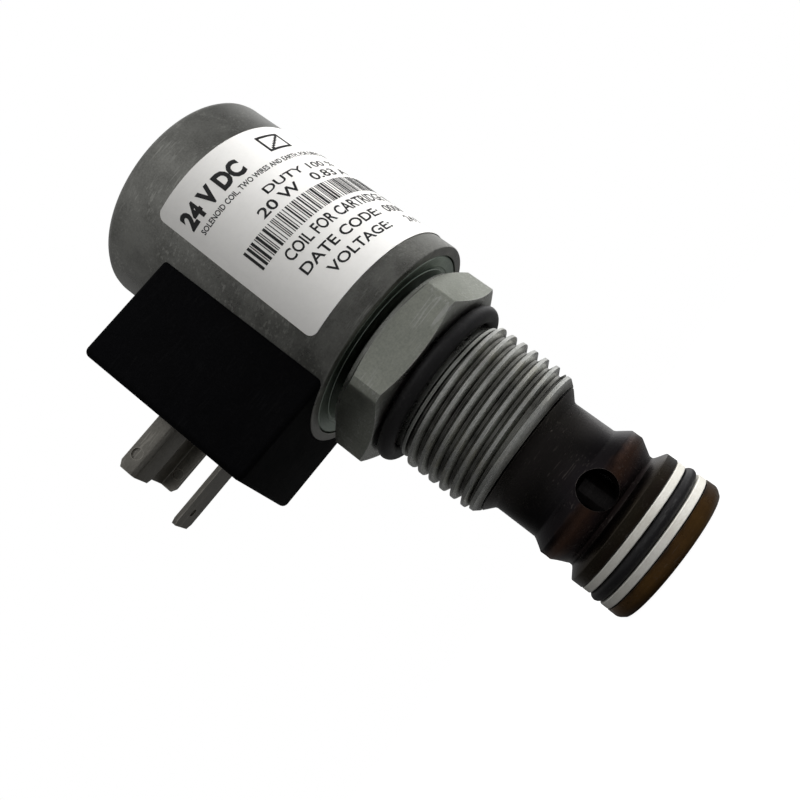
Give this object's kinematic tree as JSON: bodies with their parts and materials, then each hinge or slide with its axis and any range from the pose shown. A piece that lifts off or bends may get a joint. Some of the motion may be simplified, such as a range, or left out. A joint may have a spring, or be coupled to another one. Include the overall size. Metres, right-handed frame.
{
  "type": "solenoid cartridge valve",
  "caption": "Screw-in solenoid cartridge valve: swivelling coil with a plug connector, hex body, external thread, and a ported nose with seals and a sprung poppet.",
  "frame": {"origin": "on the valve's axis, in the plane of the hex's seat face, where the cartridge meets the manifold", "axes": "+Z along the valve's axis from the seat towards the coil; the nose points to -Z; +Y is normal to a flat of the hex; the connector faces +X turned 4.8 degrees towards +Y"},
  "size_m": [0.0641, 0.0394, 0.1081],
  "materials": {
    "zinc_plate": "bright zinc plate, fine grain",
    "pale_zinc": "pale green zinc plate",
    "blackened_steel": "heat-blackened steel with copper patches",
    "ground_steel": "ground steel",
    "coil_can_steel": "satin grey plated steel",
    "seal_rubber": "smooth black rubber, slightly oily",
    "backup_plastic": "off-white plastic",
    "moulded_black": "matt black moulding",
    "enamelled_wire": "enamelled copper wire",
    "insert_brass": "turned brass",
    "tinned_blade": "tinned, dull",
    "label_film": "printed silver-white film"
  },
  "bodies": {
    "valve_body": {"hex_body": "zinc_plate", "cage": "blackened_steel", "port_o_ring": "seal_rubber", "nose_o_ring": "seal_rubber", "upper_backup_ring": "backup_plastic", "lower_backup_ring": "backup_plastic", "armature_tube": "ground_steel", "pole_piece": "ground_steel", "return_spring": "ground_steel", "lower_coil_o_ring": "seal_rubber"},
    "coil": {"coil_can": "coil_can_steel", "lower_flux_washer": "pale_zinc", "upper_flux_washer": "pale_zinc", "bobbin": "moulded_black", "winding": "enamelled_wire", "potting": "moulded_black", "connector_block": "moulded_black", "screw_insert": "insert_brass", "near_line_terminal": "tinned_blade", "far_line_terminal": "tinned_blade", "earth_terminal": "tinned_blade", "coil_label": "label_film"},
    "washer": {"nut_washer": "seal_rubber"},
    "nut": {"coil_nut": "zinc_plate"},
    "armature_group": {"armature": "ground_steel", "pilot_pin": "ground_steel"},
    "poppet_group": {"poppet": "ground_steel"}
  },
  "joints": [
    {"name": "coil_swivel", "type": "hinge", "parent": "valve_body", "child": "coil", "pos_m": [0, 0, 0.03], "axis": [0, 0, 1], "continuous": true},
    {"name": "washer_lift", "type": "slide", "parent": "valve_body", "child": "washer", "axis": [0, 0, 1], "range_m": [0, 0.003]},
    {"name": "nut_turn", "type": "hinge", "parent": "washer", "child": "nut", "pos_m": [0, 0, 0.058], "axis": [0, 0, 1], "range_deg": [0, 725]},
    {"name": "armature_slide", "type": "slide", "parent": "valve_body", "child": "armature_group", "axis": [0, 0, 1], "range_m": [0, 0.002], "stiffness_N_per_m": 500, "springref_m": -0.008, "deforming": ["return_spring"]},
    {"name": "poppet_slide", "type": "slide", "parent": "valve_body", "child": "poppet_group", "axis": [0, 0, 1], "range_m": [0, 0.0017]}
  ],
  "couplings": [
    {"joint": "nut_turn", "follows": "washer_lift", "rad_per_m": 4188.8},
    {"joint": "poppet_slide", "follows": "armature_slide", "ratio": 0.8}
  ]
}
